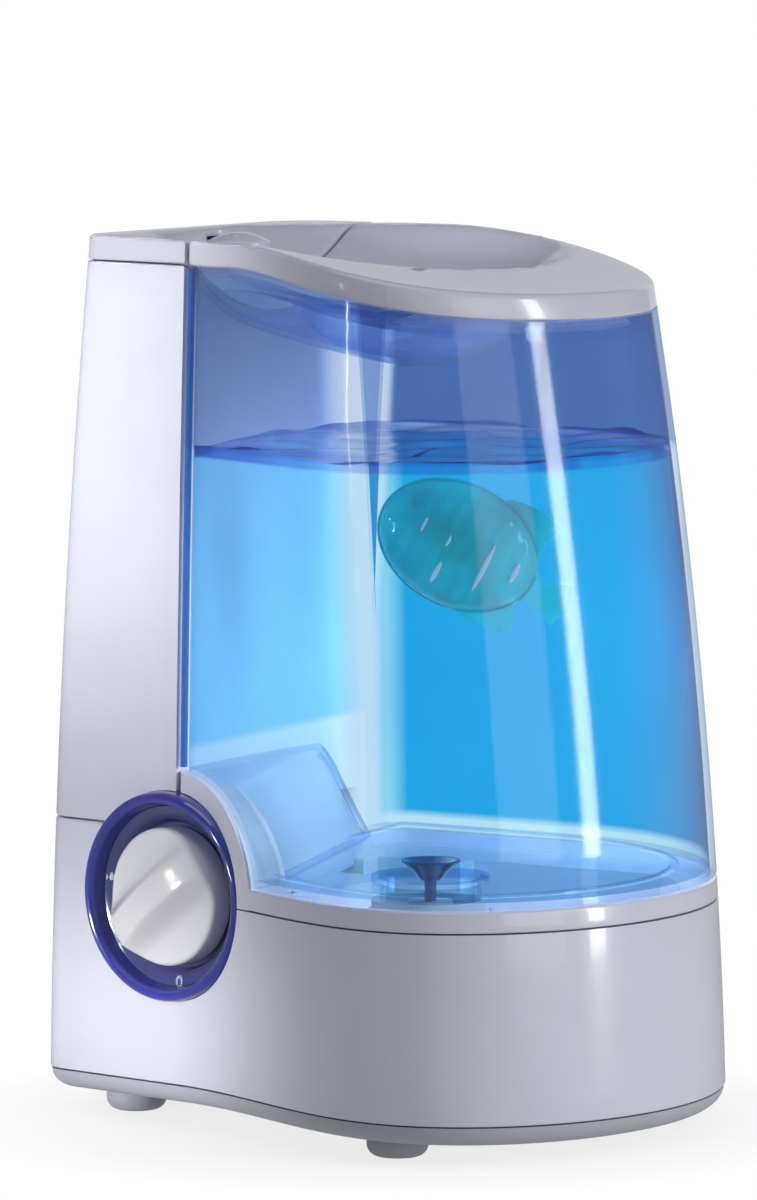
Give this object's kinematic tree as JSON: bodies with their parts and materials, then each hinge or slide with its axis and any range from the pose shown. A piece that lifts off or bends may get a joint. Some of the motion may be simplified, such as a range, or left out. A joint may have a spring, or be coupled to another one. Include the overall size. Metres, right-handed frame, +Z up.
{
  "type": "cool mist humidifier",
  "caption": "Tabletop ultrasonic humidifier: white base with a round output dial, mist tower, and a clear lift-off water tank with a bowl-shaped lid and a floating filter cartridge.",
  "frame": {"origin": "on the surface that the feet stand on, at the middle of the body's bounding box", "axes": "+Z up through the tower, +X to the right and -Y out of the front, where the dial is"},
  "size_m": [0.245, 0.206, 0.32],
  "materials": {
    "white_plastic": "gloss",
    "underside_plastic": "satin",
    "lid_plastic": "gloss",
    "inner_plastic": "satin",
    "clear_blue": "clear",
    "bezel_blue": "translucent",
    "valve_blue": "gloss",
    "teal_plastic": "translucent",
    "resin": "granular",
    "dark_plastic": "satin",
    "seal_rubber": "matte",
    "steel": "bright",
    "transducer_metal": "satin",
    "circuit_board": "satin",
    "sink_metal": "satin",
    "transformer_iron": "varnished",
    "filter_foam": "open foam"
  },
  "bodies": {
    "base": {"base_housing": "white_plastic", "bottom_plate": "underside_plastic", "feet": "underside_plastic", "bottom_screws": "steel", "water_tray": "white_plastic", "control_bezel": "bezel_blue", "potentiometer": "dark_plastic", "control_board": "circuit_board", "driver_board": "circuit_board", "heat_sink": "sink_metal", "transformer": "transformer_iron", "transducer_disc": "transducer_metal", "transducer_seal": "seal_rubber", "transducer_retainer": "inner_plastic", "float_guide": "inner_plastic", "reed_switch": "dark_plastic", "fan_housing": "dark_plastic", "fan_motor": "dark_plastic", "air_filter": "filter_foam", "filter_grille": "inner_plastic", "air_duct": "inner_plastic", "cord_gland": "underside_plastic"},
    "knob": {"dial_knob": "white_plastic", "dial_shaft": "steel"},
    "fan": {"fan_impeller": "dark_plastic"},
    "float": {"water_float": "inner_plastic"},
    "tower": {"column_cover": "white_plastic", "column_cap": "lid_plastic", "mist_duct": "inner_plastic"},
    "nozzle": {"mist_nozzle": "lid_plastic"},
    "tank": {"tank_shell": "clear_blue", "tank_floor": "clear_blue", "tank_top": "clear_blue", "tank_lid": "lid_plastic"},
    "filler_cap": {"tank_cap": "inner_plastic", "cap_seal": "seal_rubber", "valve_spring": "steel"},
    "valve": {"valve_plunger": "valve_blue"},
    "cartridge": {"cartridge_front": "teal_plastic", "cartridge_back": "teal_plastic", "cartridge_core": "resin"}
  },
  "joints": [
    {"name": "tank_lift", "type": "slide", "parent": "base", "child": "tank", "axis": [0, 0, 1], "range_m": [0, 0.26]},
    {"name": "tower_lift", "type": "slide", "parent": "base", "child": "tower", "axis": [0, 0, 1], "range_m": [0, 0.2]},
    {"name": "nozzle_turn", "type": "hinge", "parent": "tower", "child": "nozzle", "pos_m": [-0.086, 0.022, 0.306], "axis": [0, 0, 1], "continuous": true},
    {"name": "knob_turn", "type": "hinge", "parent": "base", "child": "knob", "pos_m": [-0.0598, -0.06619, 0.0836], "axis": [-0.158, -0.9874, 0], "range_deg": [-46, 59]},
    {"name": "fan_spin", "type": "hinge", "parent": "base", "child": "fan", "pos_m": [-0.086, 0.082, 0.035], "axis": [0, -1, 0], "continuous": true},
    {"name": "float_rise", "type": "slide", "parent": "base", "child": "float", "axis": [0, 0, 1], "range_m": [0, 0.012]},
    {"name": "cap_twist", "type": "hinge", "parent": "tank", "child": "filler_cap", "pos_m": [0.0415, -0.05, 0.08], "axis": [0, 0, 1], "range_deg": [0, 90]},
    {"name": "valve_drop", "type": "slide", "parent": "filler_cap", "child": "valve", "axis": [0, 0, -1], "range_m": [0, 0.006], "deforming": ["valve_spring"]},
    {"name": "cartridge_float", "type": "slide", "parent": "tank", "child": "cartridge", "axis": [0, 0, 1], "range_m": [-0.07, 0]}
  ],
  "couplings": [
    {"joint": "valve_drop", "follows": "tank_lift", "ratio": 0.023}
  ]
}
